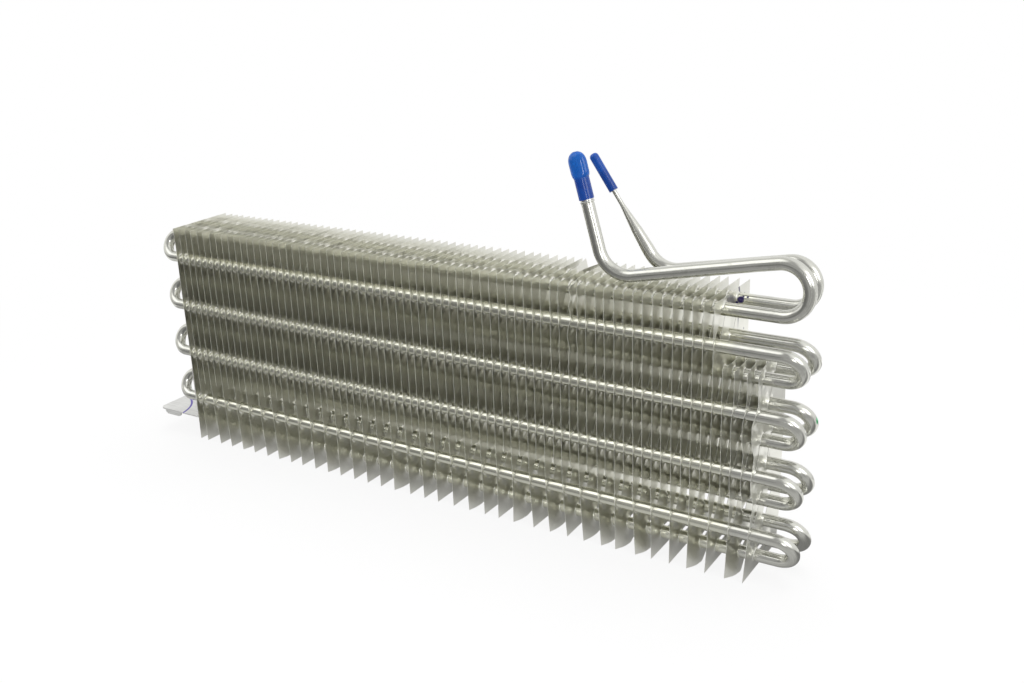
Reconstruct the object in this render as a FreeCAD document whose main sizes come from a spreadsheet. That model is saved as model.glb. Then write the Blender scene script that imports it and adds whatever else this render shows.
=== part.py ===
import FreeCAD, Part
import math
import os

# Laced refrigerator evaporator: one bent aluminium tube threaded through a pack of thin fins.
# Frame: +X towards the tube's bends and connections, +Y to the back, +Z up. The origin is the
# middle of the whole part's length and depth, on the bottom edges of the long fins.

SIZES = [
    ("tube_diameter", 8.0, "outside diameter of the tube"),
    ("tube_wall", 0.75, "wall of the tube"),
    ("row_count", 9, "tube rows, counted from the top"),
    ("row_pitch", 19.4, "height from one row to the next"),
    ("stagger", 10.5, "odd rows lie this far behind the even rows"),
    ("bend_reach_right", 13.8, "straight tube between the last fin and the right bends"),
    ("bend_reach_left", 10.9, "straight tube between the first fin and the left bends"),
    ("fin_gauge", 0.2, "thickness of a fin"),
    ("fin_pitch", 6.35, "spacing of the fins in the upper rows"),
    ("fin_depth", 56.0, "front to back"),
    ("fin_positions", 74, "fin positions along the pack"),
    ("front_margin", 4.6, "fin's front edge to the first tube"),
    ("bottom_margin", 12.75, "long fin's bottom edge to the lowest row"),
    ("top_margin", 6.85, "fin's top edge above its highest row"),
    ("short_fin_row", 7, "row at which the short fins end"),
    ("short_fin_reach", 1.5, "short fin's bottom edge below that row"),
    ("cut_back_positions", 4, "fins at the right end that leave out the top rows"),
    ("cut_back_row", 3, "highest row in those fins"),
    ("slot_clearance", 0.05, "between a slot and the tube"),
    ("outlet_loop_radius", 15.6, "bend that turns the outlet back over the pack"),
    ("outlet_loop_reach", 9.2, "straight tube before the outlet's loop"),
    ("outlet_leg_run", 107.1, "from the outlet's loop back to its riser"),
    ("outlet_leg_swing", 7.0, "the outlet's return leg leans forward by this"),
    ("outlet_rise", 69.0, "length of the outlet's riser up to its end"),
    ("outlet_lean", 15.0, "degrees from upright"),
    ("inlet_loop_radius", 13.5, "bend that turns the inlet back over the pack"),
    ("inlet_loop_reach", 8.3, "straight tube before the inlet's loop"),
    ("inlet_leg_run", 83.1, "from the inlet's loop back to its riser"),
    ("inlet_rise", 75.0, "length of the inlet's riser up to its end"),
    ("inlet_lean", 34.0, "degrees from upright"),
    ("riser_bend_radius", 19.0, "bends between return legs and risers"),
    ("leg_bend_radius", 60.0, "gentle forward bend of the outlet's return leg"),
    ("leg_bend_place", 12.0, "from the end of the loop to that bend"),
    ("leg_clearance", 0.4, "between the fins and a return leg above them"),
    ("bead_height", 0.35, "raised ring on the outlet, below its cap"),
    ("bead_length", 1.4, "along the tube"),
    ("bead_below_cap", 2.2, "lower edge of the bead below the cap's edge"),
    ("neck_diameter", 6.6, "inlet after its first drawing down"),
    ("neck_start", 16.0, "from the inlet's corner, along the riser"),
    ("neck_end", 29.0, "where the second drawing down starts"),
    ("spigot_diameter", 2.8, "drawn end of the inlet"),
    ("spigot_wall", 0.6, "wall of the drawn end"),
    ("spigot_start", 47.0, "where the thin end starts"),
    ("cap_wall", 0.55, "vinyl sleeve of the outlet's cap"),
    ("cap_fit", 0.05, "between a cap and its tube"),
    ("cap_end_room", 0.5, "between a tube's end and the inside of its cap"),
    ("outlet_cap_length", 29.0, "open edge to tip"),
    ("outlet_cap_sleeve", 13.0, "round part of the cap"),
    ("outlet_cap_width", 11.8, "flattened part, along the pack"),
    ("outlet_cap_depth", 8.4, "flattened part, front to back"),
    ("outlet_cap_cover", 20.0, "length of tube inside the cap"),
    ("inlet_cap_diameter", 5.8, "outside diameter of the inlet's cap"),
    ("inlet_cap_length", 26.0, "open edge to tip"),
    ("inlet_cap_cover", 18.0, "length of tube inside the cap"),
    ("sheet_thickness", 1.2, "bracket sheet"),
    ("bracket_gap", 0.2, "between the first fin and the bracket"),
    ("bracket_inset", 0.8, "bracket's edges behind the fins' edges"),
    ("bracket_margin", 4.4, "bracket's top edge above its highest tube"),
    ("bracket_row", 7, "highest row that passes through the bracket"),
    ("tab_length", 45.0, "ear that sticks out to the left"),
    ("tab_clearance", 0.9, "between the ear and the crossover bend below it"),
    ("fold_radius", 1.0, "inside radius of the bracket's fold"),
    ("tab_corner_radius", 4.0, "outer corners of the ear"),
    ("lip_length", 18.0, "stiffening lip under the ear's front edge"),
    ("lip_drop", 3.4, "height of the lip below the ear"),
    ("lip_inset", 5.5, "start of the lip from the ear's end"),
]

doc = FreeCAD.newDocument("evaporator")
sheet = doc.addObject("Spreadsheet::Sheet", "Sizes")
for line, (alias, value, meaning) in enumerate(SIZES, start=1):
    sheet.set(f"A{line}", meaning)
    sheet.set(f"B{line}", str(value))
    sheet.setAlias(f"B{line}", alias)
doc.recompute()


def size(alias):
    return float(sheet.get(alias))


def vector(x, y, z):
    return FreeCAD.Vector(x, y, z)


TUBE_RADIUS = size("tube_diameter") / 2
ROWS = int(size("row_count"))
COLUMNS = 2
POSITIONS = int(size("fin_positions"))
SHORT_FINS_PER_GROUP = 3
PACK_LENGTH = (POSITIONS - 1) * size("fin_pitch")
FIN_FRONT = -size("fin_depth") / 2
FIN_TOP = size("bottom_margin") + (ROWS - 1) * size("row_pitch") + size("top_margin")
BEND_RADIUS = math.hypot(size("row_pitch"), size("stagger")) / 2
BRACKET_OFFSET = size("fin_gauge") / 2 + size("bracket_gap")
LEFT_OVERHANG = BRACKET_OFFSET + size("tab_length")
RIGHT_OVERHANG = TUBE_RADIUS + max(
    size("bend_reach_right") + BEND_RADIUS,
    size("outlet_loop_reach") + size("outlet_loop_radius"),
    size("inlet_loop_reach") + size("inlet_loop_radius"),
)
FIRST_FIN = (LEFT_OVERHANG - RIGHT_OVERHANG - PACK_LENGTH) / 2
LAST_FIN = FIRST_FIN + PACK_LENGTH


# Tube places

def row_height(row):
    return size("bottom_margin") + (ROWS - row) * size("row_pitch")


def row_depth(row, column):
    """Even rows lie at the front of their column and odd rows behind them."""
    first = FIN_FRONT + size("front_margin") + 2 * size("stagger") * column
    return first + size("stagger") * (row % 2)


def at_row(x, row, column):
    return vector(x, row_depth(row, column), row_height(row))


def straight(start, end):
    return Part.LineSegment(start, end).toShape()


def half_turn(start, end, outwards):
    """Half circle from start to end that bulges towards outwards."""
    middle = (start + end) * 0.5 + outwards * ((end - start).Length / 2)
    return Part.Arc(start, middle, end).toShape()


def corner(before, at, after, radius):
    """The tangent arc that rounds the corner at one point of a route."""
    back = (before - at).normalize()
    ahead = (after - at).normalize()
    half_angle = back.getAngle(ahead) / 2
    setback = radius / math.tan(half_angle)
    inward = (back + ahead).normalize()
    centre = at + inward * (radius / math.sin(half_angle))
    middle = centre - inward * radius
    return Part.Arc(at + back * setback, middle, at + ahead * setback)


def riser_direction(lean):
    angle = math.radians(size(lean))
    return vector(-math.sin(angle), 0, math.cos(angle))


RIGHT = vector(1, 0, 0)
LEFT_BENDS = FIRST_FIN - size("bend_reach_left")
RIGHT_BENDS = LAST_FIN + size("bend_reach_right")
OUTLET_LOOP = at_row(LAST_FIN + size("outlet_loop_reach"), 1, 0)
INLET_LOOP = at_row(LAST_FIN + size("inlet_loop_reach"), 1, 1)
LEG_HEIGHT = FIN_TOP + size("leg_clearance") + TUBE_RADIUS
OUTLET_CORNER = vector(OUTLET_LOOP.x - size("outlet_leg_run"),
                       OUTLET_LOOP.y - size("outlet_leg_swing"), LEG_HEIGHT)
INLET_CORNER = vector(INLET_LOOP.x - size("inlet_leg_run"), INLET_LOOP.y, LEG_HEIGHT)
OUTLET_UP = riser_direction("outlet_lean")
INLET_UP = riser_direction("inlet_lean")
OUTLET_END = OUTLET_CORNER + OUTLET_UP * size("outlet_rise")
NECK_START = INLET_CORNER + INLET_UP * size("neck_start")


def connection(loop_low, radius, corner_at, end):
    """Edges from the tube's end over the return leg and round the loop to the top row."""
    centre = loop_low + vector(0, 0, radius)
    across = centre.x - corner_at.x
    rise = centre.z - corner_at.z
    slope = math.atan2(rise, across) + math.asin(radius / math.hypot(across, rise))
    loop_end = centre + vector(-math.sin(slope), 0, math.cos(slope)) * radius
    middle_angle = slope / 2
    middle = centre + vector(math.cos(middle_angle), 0, math.sin(middle_angle)) * radius
    leg_start = loop_end - vector(math.cos(slope), 0, math.sin(slope)) * size("leg_bend_place")
    riser_bend = corner(end, corner_at, leg_start, size("riser_bend_radius"))
    edges = [straight(end, riser_bend.StartPoint), riser_bend.toShape()]
    if abs(corner_at.y - loop_low.y) > TUBE_RADIUS / 10:
        leg_bend = corner(corner_at, leg_start, loop_end, size("leg_bend_radius"))
        edges += [straight(riser_bend.EndPoint, leg_bend.StartPoint), leg_bend.toShape()]
        edges.append(straight(leg_bend.EndPoint, loop_end))
    else:
        edges.append(straight(riser_bend.EndPoint, loop_end))
    edges.append(Part.Arc(loop_end, middle, loop_low).toShape())
    return edges


def tube_route():
    """One wire: outlet, front column down, crossover at the left, back column up, inlet."""
    passes = [(row, 0) for row in range(1, ROWS + 1)]
    passes += [(row, 1) for row in range(ROWS, 0, -1)]
    edges = connection(OUTLET_LOOP, size("outlet_loop_radius"), OUTLET_CORNER, OUTLET_END)
    place = OUTLET_LOOP
    for number, (row, column) in enumerate(passes[:-1]):
        to_left = number % 2 == 0
        x = LEFT_BENDS if to_left else RIGHT_BENDS
        turn_start = at_row(x, row, column)
        turn_end = at_row(x, *passes[number + 1])
        edges.append(straight(place, turn_start))
        edges.append(half_turn(turn_start, turn_end, -RIGHT if to_left else RIGHT))
        place = turn_end
    edges.append(straight(place, INLET_LOOP))
    inlet = connection(INLET_LOOP, size("inlet_loop_radius"), INLET_CORNER, NECK_START)
    return edges + list(reversed(inlet))


def helper(kind, name):
    return doc.addObject(kind, name)


def place_along(thing, base, direction):
    """Puts a shape's own z axis along direction."""
    turn = FreeCAD.Rotation(vector(0, 0, 1), direction)
    thing.Placement = FreeCAD.Placement(base, turn)


def cylinder(name, radius, length, base, direction):
    """radius and length are expressions on the sheet's cells."""
    thing = helper("Part::Cylinder", name)
    thing.setExpression("Radius", radius)
    thing.setExpression("Height", length)
    place_along(thing, base, direction)
    return thing


def cone(name, start_radius, end_radius, length, base, direction):
    thing = helper("Part::Cone", name)
    thing.setExpression("Radius1", start_radius)
    thing.setExpression("Radius2", end_radius)
    thing.setExpression("Height", length)
    place_along(thing, base, direction)
    return thing


def fused(name, shapes):
    thing = helper("Part::MultiFuse", name)
    thing.Shapes = shapes
    thing.Refine = True
    return thing


def cut(name, base, tool):
    thing = helper("Part::Cut", name)
    thing.Base = base
    thing.Tool = tool
    return thing


def swept(name, route, radius):
    """A round section of the given radius along the whole route."""
    section = helper("Part::Circle", name + "_section")
    section.setExpression("Radius", radius)
    place_along(section, OUTLET_END, OUTLET_UP * -1)
    thing = helper("Part::Sweep", name)
    thing.Sections = [section]
    thing.Spine = (route, [f"Edge{n + 1}" for n in range(len(route.Shape.Edges))])
    thing.Solid = True
    thing.Frenet = False
    return thing


def drawn_end(name, inward="", thin_inward=""):
    """The inlet's riser: drawn down in two steps to a thin end. inward is taken off its radii."""
    outer = "Sizes.tube_diameter / 2" + inward
    neck = "Sizes.neck_diameter / 2" + inward
    thin = "Sizes.spigot_diameter / 2" + thin_inward
    neck_end = INLET_CORNER + INLET_UP * size("neck_end")
    thin_start = INLET_CORNER + INLET_UP * size("spigot_start")
    return [
        cone(name + "_neck", outer, neck, "Sizes.neck_end - Sizes.neck_start", NECK_START, INLET_UP),
        cone(name + "_taper", neck, thin, "Sizes.spigot_start - Sizes.neck_end", neck_end, INLET_UP),
        cylinder(name + "_spigot", thin, "Sizes.inlet_rise - Sizes.spigot_start", thin_start, INLET_UP),
    ]


def make_tube():
    route = helper("Part::Feature", "tube_route")
    route.Shape = Part.Wire(tube_route())
    bead_at = OUTLET_END - OUTLET_UP * (size("outlet_cap_cover") + size("bead_below_cap"))
    outside = fused("tube_outside", [
        swept("tube_body", route, "Sizes.tube_diameter / 2"),
        cylinder("outlet_bead", "Sizes.tube_diameter / 2 + Sizes.bead_height",
                 "Sizes.bead_length", bead_at, OUTLET_UP),
        *drawn_end("inlet"),
    ])
    bore = fused("tube_bore", [
        swept("bore_body", route, "Sizes.tube_diameter / 2 - Sizes.tube_wall"),
        *drawn_end("inlet_bore", " - Sizes.tube_wall", " - Sizes.spigot_wall"),
    ])
    tube = cut("evaporator_tube", outside, bore)
    tube.Label = "evaporator_tube"
    return tube


# Fins

def slot_outline(first, second):
    """Flat-sided slot round two tubes of one hairpin: its sides and pointed ends touch both."""
    along = (second - first).normalize()
    across = vector(0, -along.z, along.y)
    half_width = TUBE_RADIUS + size("slot_clearance")
    shoulder = half_width * (math.sqrt(2) - 1)
    tip = half_width * math.sqrt(2)
    return [
        first - along * tip,
        first - along * shoulder + across * half_width,
        second + along * shoulder + across * half_width,
        second + along * tip,
        second + along * shoulder - across * half_width,
        first - along * shoulder - across * half_width,
    ]


def add_polygon(sketch, points):
    """Closed outline on the YZ plane, whose sketch axes are Y and Z."""
    flat = [vector(point.y, point.z, 0) for point in points]
    for start, end in zip(flat, flat[1:] + flat[:1]):
        sketch.addGeometry(Part.LineSegment(start, end), False)


def make_slot_layout():
    """Every slot of the press tool: hairpins of rows 1-2, 3-4, 5-6 and 7-8, and the crossover."""
    layout = helper("Sketcher::SketchObject", "slot_layout")
    layout.Placement = FreeCAD.Placement(vector(0, 0, 0), FreeCAD.Rotation(vector(1, 1, 1), 120))
    for column in range(COLUMNS):
        for row in range(1, ROWS, 2):
            add_polygon(layout, slot_outline(at_row(0, row, column), at_row(0, row + 1, column)))
    add_polygon(layout, slot_outline(at_row(0, ROWS, 0), at_row(0, ROWS, 1)))
    slots = helper("Part::Face", "slot_faces")
    slots.Sources = [layout]
    slots.FaceMakerClass = "Part::FaceMakerBullseye"
    return slots


ROW = "(Sizes.row_count - {0}) * Sizes.row_pitch + Sizes.bottom_margin"
FULL_TOP = ROW.format("1") + " + Sizes.top_margin"
CUT_BACK_TOP = ROW.format("Sizes.cut_back_row") + " + Sizes.top_margin"
LONG_BOTTOM = "0"
SHORT_BOTTOM = ROW.format("Sizes.short_fin_row") + " - Sizes.short_fin_reach"


def make_fin_profile(name, bottom, top, slots):
    """Blank between two heights, less the slots that fall on it."""
    blank = helper("Part::Plane", name + "_blank")
    blank.Placement = FreeCAD.Placement(vector(0, 0, 0), FreeCAD.Rotation(vector(1, 1, 1), 120))
    blank.setExpression("Length", "Sizes.fin_depth")
    blank.setExpression("Width", f"({top}) - ({bottom})")
    blank.setExpression("Placement.Base.y", "-Sizes.fin_depth / 2")
    blank.setExpression("Placement.Base.z", bottom)
    return cut(name, blank, slots)


def make_fin(name, profile, position):
    fin = helper("Part::Extrusion", name)
    fin.Base = profile
    fin.DirMode = "Custom"
    fin.Dir = RIGHT
    fin.Solid = True
    fin.setExpression("LengthFwd", "Sizes.fin_gauge")
    fin.setExpression("Placement.Base.x",
                      f"{FIRST_FIN} + {position} * Sizes.fin_pitch - Sizes.fin_gauge / 2")
    return fin


def make_fins():
    """Long fins at both ends and at every second position, short ones between, in threes."""
    slots = make_slot_layout()
    full_long = make_fin_profile("long_fin_profile", LONG_BOTTOM, FULL_TOP, slots)
    full_short = make_fin_profile("short_fin_profile", SHORT_BOTTOM, FULL_TOP, slots)
    cut_back_long = make_fin_profile("cut_back_long_profile", LONG_BOTTOM, CUT_BACK_TOP, slots)
    cut_back_short = make_fin_profile("cut_back_short_profile", SHORT_BOTTOM, CUT_BACK_TOP, slots)
    first_cut_back = POSITIONS - int(size("cut_back_positions"))
    long_fins = []
    short_fins = []
    for position in range(POSITIONS):
        cut_back = position >= first_cut_back
        if position == 0 or position % 2 == 1:
            profile = cut_back_long if cut_back else full_long
            name = f"long_fin_{len(long_fins) + 1:02d}"
            long_fins.append(make_fin(name, profile, position))
        else:
            profile = cut_back_short if cut_back else full_short
            name = f"short_fin_{len(short_fins) + 1:02d}"
            short_fins.append(make_fin(name, profile, position))
    groups = []
    for start in range(0, len(short_fins), SHORT_FINS_PER_GROUP):
        group = helper("Part::Compound", f"short_fins_{len(groups) + 1:02d}")
        group.Links = short_fins[start:start + SHORT_FINS_PER_GROUP]
        groups.append(group)
    return long_fins + groups


# Bracket and caps

def origin_feature(body, role):
    return next(feature for feature in body.Origin.OriginFeatures if feature.Role == role)


def new_sketch(body, name, role):
    sketch = body.newObject("Sketcher::SketchObject", name)
    sketch.AttachmentSupport = [(origin_feature(body, role), "")]
    sketch.MapMode = "FlatFace"
    return sketch


def make_bracket():
    """Upright against the first fin, threaded on two hairpins, with an ear folded out below."""
    body = helper("PartDesign::Body", "mounting_bracket")
    sheet_t = size("sheet_thickness")
    depth = size("fin_depth") - 2 * size("bracket_inset")
    highest = int(size("bracket_row"))
    top = row_height(highest) + TUBE_RADIUS + size("bracket_margin")
    face = FIRST_FIN - BRACKET_OFFSET
    tip = face - size("tab_length")
    tab_top = row_height(ROWS) + TUBE_RADIUS + size("tab_clearance") + sheet_t
    inner = size("fold_radius")
    outer = inner + sheet_t

    # The folded sheet's section, on the XZ plane.
    section = new_sketch(body, "bracket_section", "XZ_Plane")
    fold = vector(face - outer, tab_top + inner, 0)
    diagonal = vector(math.sqrt(0.5), -math.sqrt(0.5), 0)
    points = [
        vector(face, fold.y, 0),
        vector(face, top, 0),
        vector(face - sheet_t, top, 0),
        vector(face - sheet_t, fold.y, 0),
    ]
    under = [
        vector(fold.x, tab_top, 0),
        vector(tip, tab_top, 0),
        vector(tip, tab_top - sheet_t, 0),
        vector(fold.x, tab_top - sheet_t, 0),
    ]
    for chain in (points, under):
        for start, end in zip(chain, chain[1:]):
            section.addGeometry(Part.LineSegment(start, end), False)
    section.addGeometry(Part.Arc(points[3], fold + diagonal * inner, under[0]), False)
    section.addGeometry(Part.Arc(under[3], fold + diagonal * outer, points[0]), False)
    sheet_pad = body.newObject("PartDesign::Pad", "folded_sheet")
    sheet_pad.Profile = section
    sheet_pad.Midplane = True
    sheet_pad.setExpression("Length", "Sizes.fin_depth - 2 * Sizes.bracket_inset")

    # The lip under the ear's front edge, on the XZ plane and moved to the front.
    lip = new_sketch(body, "lip_outline", "XZ_Plane")
    lip.AttachmentOffset = FreeCAD.Placement(vector(0, 0, depth / 2), FreeCAD.Rotation())
    drop = size("lip_drop")
    low = tab_top - sheet_t - drop
    high = tab_top - sheet_t
    lip_start = tip + size("lip_inset")
    lip_end = lip_start + size("lip_length")
    round_off = drop * math.sqrt(0.5)
    left_arc = Part.Arc(vector(lip_start, high, 0),
                        vector(lip_start + drop - round_off, high - round_off, 0),
                        vector(lip_start + drop, low, 0))
    right_arc = Part.Arc(vector(lip_end - drop, low, 0),
                         vector(lip_end - drop + round_off, high - round_off, 0),
                         vector(lip_end, high, 0))
    lip.addGeometry(left_arc, False)
    lip.addGeometry(Part.LineSegment(left_arc.EndPoint, right_arc.StartPoint), False)
    lip.addGeometry(right_arc, False)
    lip.addGeometry(Part.LineSegment(right_arc.EndPoint, left_arc.StartPoint), False)
    lip_pad = body.newObject("PartDesign::Pad", "stiffening_lip")
    lip_pad.Profile = lip
    lip_pad.Reversed = True
    lip_pad.setExpression("Length", "Sizes.sheet_thickness")
    doc.recompute()

    # Two hairpins of the left end pass through the upright.
    holes = new_sketch(body, "hairpin_slots", "YZ_Plane")
    for column in range(COLUMNS):
        add_round_slot(holes, at_row(0, highest, column), at_row(0, highest + 1, column))
    pocket = body.newObject("PartDesign::Pocket", "hairpin_pocket")
    pocket.Profile = holes
    pocket.Type = "ThroughAll"
    doc.recompute()
    if pocket.Shape.Volume >= lip_pad.Shape.Volume:
        raise RuntimeError("the hairpin slots cut nothing")

    corners = [
        f"Edge{number}"
        for number, edge in enumerate(pocket.Shape.Edges, start=1)
        if abs(edge.CenterOfMass.x - tip) < sheet_t / 10 and edge.Length < 1.01 * sheet_t
    ]
    fillet = body.newObject("PartDesign::Fillet", "ear_corners")
    fillet.Base = (pocket, corners)
    fillet.setExpression("Radius", "Sizes.tab_corner_radius")
    return body


def add_round_slot(sketch, first, second):
    """Slot with round ends that fits both tubes of a hairpin, on a YZ sketch."""
    start = vector(first.y, first.z, 0)
    end = vector(second.y, second.z, 0)
    radius = TUBE_RADIUS + size("slot_clearance")
    along = (end - start).normalize()
    across = vector(-along.y, along.x, 0)
    sketch.addGeometry(Part.Arc(start - across * radius, start - along * radius,
                                start + across * radius), False)
    sketch.addGeometry(Part.LineSegment(start + across * radius, end + across * radius), False)
    sketch.addGeometry(Part.Arc(end + across * radius, end + along * radius,
                                end - across * radius), False)
    sketch.addGeometry(Part.LineSegment(end - across * radius, start - across * radius), False)


def make_outlet_cap():
    """Vinyl cap: a sleeve on the round tube, pressed flat above it, with a rounded tip."""
    sleeve_radius = "Sizes.tube_diameter / 2 + Sizes.cap_fit + Sizes.cap_wall"
    open_edge = OUTLET_END - OUTLET_UP * size("outlet_cap_cover")
    sleeve_end = size("outlet_cap_sleeve")
    tip_height = size("outlet_cap_depth") * 0.75
    tip_start = size("outlet_cap_length") - tip_height
    shoulder = sleeve_end + 0.45 * (tip_start - sleeve_end)
    rings = []

    def add_ring(height, major, minor):
        """Oval outline at a height above the open edge; major and minor are expressions."""
        ring = helper("Part::Ellipse", f"outlet_cap_ring_{len(rings) + 1}")
        ring.setExpression("MajorRadius", major)
        ring.setExpression("MinorRadius", minor)
        place_along(ring, open_edge + OUTLET_UP * height, OUTLET_UP)
        rings.append(ring)

    wide = "Sizes.outlet_cap_width / 2"
    thick = "Sizes.outlet_cap_depth / 2"
    add_ring(sleeve_end, sleeve_radius + " + 0.1 * Sizes.cap_wall", sleeve_radius)
    add_ring(shoulder, wide, thick)
    for angle in range(0, 90, 25):
        shrink = math.cos(math.radians(angle))
        rise = tip_height * math.sin(math.radians(angle))
        add_ring(tip_start + rise, f"{wide} * {shrink}", f"{thick} * {shrink}")
    crown = helper("Part::Loft", "outlet_cap_crown")
    crown.Sections = rings
    crown.Solid = True
    sleeve = helper("Part::Extrusion", "outlet_cap_sleeve")
    sleeve.Base = rings[0]
    sleeve.DirMode = "Custom"
    sleeve.Dir = OUTLET_UP * -1
    sleeve.Solid = True
    sleeve.setExpression("LengthFwd", "Sizes.outlet_cap_sleeve")
    outside = fused("outlet_cap_outside", [sleeve, crown])
    bore = cylinder("outlet_cap_bore", "Sizes.tube_diameter / 2 + Sizes.cap_fit",
                    "Sizes.outlet_cap_cover + Sizes.cap_end_room", open_edge, OUTLET_UP)
    return cut("outlet_cap", outside, bore)


def make_inlet_cap():
    """Vinyl cap turned about its axis: round tip above, blind bore from below."""
    body = helper("PartDesign::Body", "inlet_cap")
    outer = size("inlet_cap_diameter") / 2
    bore = size("spigot_diameter") / 2 + size("cap_fit")
    length = size("inlet_cap_length")
    depth = size("inlet_cap_cover") + size("cap_end_room")
    round_tip = outer * 0.8
    diagonal = round_tip * (1 - math.sqrt(0.5))
    section = new_sketch(body, "inlet_cap_section", "XZ_Plane")
    points = [
        vector(outer - round_tip, length, 0),
        vector(0, length, 0),
        vector(0, depth, 0),
        vector(bore, depth, 0),
        vector(bore, 0, 0),
        vector(outer, 0, 0),
        vector(outer, length - round_tip, 0),
    ]
    for start, end in zip(points, points[1:]):
        section.addGeometry(Part.LineSegment(start, end), False)
    middle = vector(outer - diagonal, length - diagonal, 0)
    section.addGeometry(Part.Arc(points[-1], middle, points[0]), False)
    turned = body.newObject("PartDesign::Revolution", "inlet_cap_turned")
    turned.Profile = section
    turned.ReferenceAxis = (origin_feature(body, "Z_Axis"), [""])
    turned.Angle = 360
    place_along(body, INLET_CORNER + INLET_UP * (size("inlet_rise") - size("inlet_cap_cover")), INLET_UP)
    return body


parts = [make_tube(), make_bracket(), make_outlet_cap(), make_inlet_cap()] + make_fins()
doc.recompute()

for thing in doc.Objects:
    if "Invalid" in thing.State or "Error" in thing.State:
        raise RuntimeError(f"{thing.Label} failed: {thing.State}")
for part in parts:
    if part.Shape.isNull() or not part.Shape.isValid() or not part.Shape.Solids:
        raise RuntimeError(f"{part.Label} has no valid solid")

route_length = doc.getObject("tube_route").Shape.Length
section_area = math.pi * TUBE_RADIUS ** 2
swept_volume = doc.getObject("tube_body").Shape.Volume
print(f"tube: {route_length:.0f} mm, volume over section times length {swept_volume / section_area / route_length:.4f}")

os.makedirs("parts", exist_ok=True)
for part in parts:
    part.Shape.exportStep(os.path.join("parts", part.Label + ".step"))
print(f"{len(parts)} nodes written")
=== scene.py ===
import math
import random

import bpy
import numpy as np
from mathutils import Matrix, Vector
from mathutils.geometry import delaunay_2d_cdt


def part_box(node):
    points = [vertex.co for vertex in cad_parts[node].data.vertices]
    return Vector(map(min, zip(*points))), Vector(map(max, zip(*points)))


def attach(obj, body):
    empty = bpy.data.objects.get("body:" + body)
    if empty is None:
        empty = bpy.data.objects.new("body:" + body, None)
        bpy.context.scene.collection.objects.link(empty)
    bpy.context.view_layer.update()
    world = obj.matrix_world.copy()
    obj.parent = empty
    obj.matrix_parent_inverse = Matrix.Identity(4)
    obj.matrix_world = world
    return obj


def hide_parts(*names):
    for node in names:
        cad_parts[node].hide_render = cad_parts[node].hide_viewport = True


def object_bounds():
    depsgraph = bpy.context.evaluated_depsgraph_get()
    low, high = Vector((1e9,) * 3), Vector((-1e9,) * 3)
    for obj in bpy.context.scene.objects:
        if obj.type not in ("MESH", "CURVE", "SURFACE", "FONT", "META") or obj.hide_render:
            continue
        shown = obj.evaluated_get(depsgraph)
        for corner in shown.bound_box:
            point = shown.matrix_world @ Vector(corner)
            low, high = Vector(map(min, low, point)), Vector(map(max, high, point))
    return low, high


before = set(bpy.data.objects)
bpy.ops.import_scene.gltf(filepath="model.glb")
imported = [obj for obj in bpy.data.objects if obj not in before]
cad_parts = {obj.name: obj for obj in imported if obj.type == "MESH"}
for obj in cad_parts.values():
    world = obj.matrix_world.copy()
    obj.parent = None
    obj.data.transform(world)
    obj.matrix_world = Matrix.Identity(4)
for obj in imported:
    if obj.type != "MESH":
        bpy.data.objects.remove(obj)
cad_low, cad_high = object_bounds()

# Looks of the refrigerator evaporator: thin half-mirror fins with flanged slots, drawn aluminium
# tube, blue vinyl caps and a folded bracket. Lengths are millimetres until a mesh is made.

scene = bpy.context.scene

# ---------------------------------------------------------------- measures, as in the CAD source

MM = 0.001
TUBE_RADIUS = 4.0
ROWS = 9
LOWEST_ROW, ROW_PITCH = 12.75, 19.4
FRONT_COLUMN, COLUMN_PITCH, ROW_STAGGER = -23.4, 21.0, 10.5
FIN_POSITIONS = 74
FIN_PITCH = 6.35
FIN_FRONT, FIN_BACK = -28.0, 28.0
FIN_TOP, CUT_BACK_TOP, SHORT_BOTTOM = 174.8, 136.0, 50.05
FIRST_CUT_BACK = 70
FIN_HALF_GAUGE = 0.1
SHORT_FINS_PER_NODE = 3
FIRST_FIN = (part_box("long_fin_01")[0].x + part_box("long_fin_01")[1].x) / 2 / MM
LAST_FIN = FIRST_FIN + (FIN_POSITIONS - 1) * FIN_PITCH

# How far the fins and the tube's skin stay inside the CAD box.
BOX_MARGIN = 0.005


def row_z(row):
    return LOWEST_ROW + (ROWS - row) * ROW_PITCH


def row_y(row, column):
    return FRONT_COLUMN + COLUMN_PITCH * column + ROW_STAGGER * (row % 2)


def place(row, column):
    return (row_y(row, column), row_z(row))


# A slot is two holes and a channel between them. Its half-width is given by its upper row.
CHANNEL_HALF_WIDTHS = {1: 3.8, 3: 1.5, 5: 1.2, 7: 3.2, 9: 1.7}
CLOSED_HALF_WIDTH = 0.6
SLOTS = [(place(row, column), place(row + 1, column), CHANNEL_HALF_WIDTHS[row])
         for column in (0, 1) for row in (1, 3, 5, 7)]
SLOTS.append((place(ROWS, 0), place(ROWS, 1), CHANNEL_HALF_WIDTHS[ROWS]))


# ---------------------------------------------------------------- helpers for materials

IN_MM = (1000.0, 1000.0, 1000.0)
NOISE_ROUGHNESS = 0.55


def new_material(name):
    """Material with a Principled shader: returns the material, its node tree and the shader."""
    material = bpy.data.materials.new(name)
    material.use_nodes = True
    tree = material.node_tree
    return material, tree, tree.nodes["Principled BSDF"]


def fill(tree, socket, value):
    """Links a socket to another one, or gives it a constant."""
    if isinstance(value, bpy.types.NodeSocket):
        tree.links.new(value, socket)
    else:
        socket.default_value = value


def add(tree, kind, settings=None, **inputs):
    """New node. Its inputs go by name, with _ for a blank, or by number as i0, i1 and so on."""
    node = tree.nodes.new(kind)
    for key, value in (settings or {}).items():
        setattr(node, key, value)
    for key, value in inputs.items():
        by_number = key[0] == "i" and key[1:].isdigit()
        fill(tree, node.inputs[int(key[1:]) if by_number else key.replace("_", " ")], value)
    return node


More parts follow.
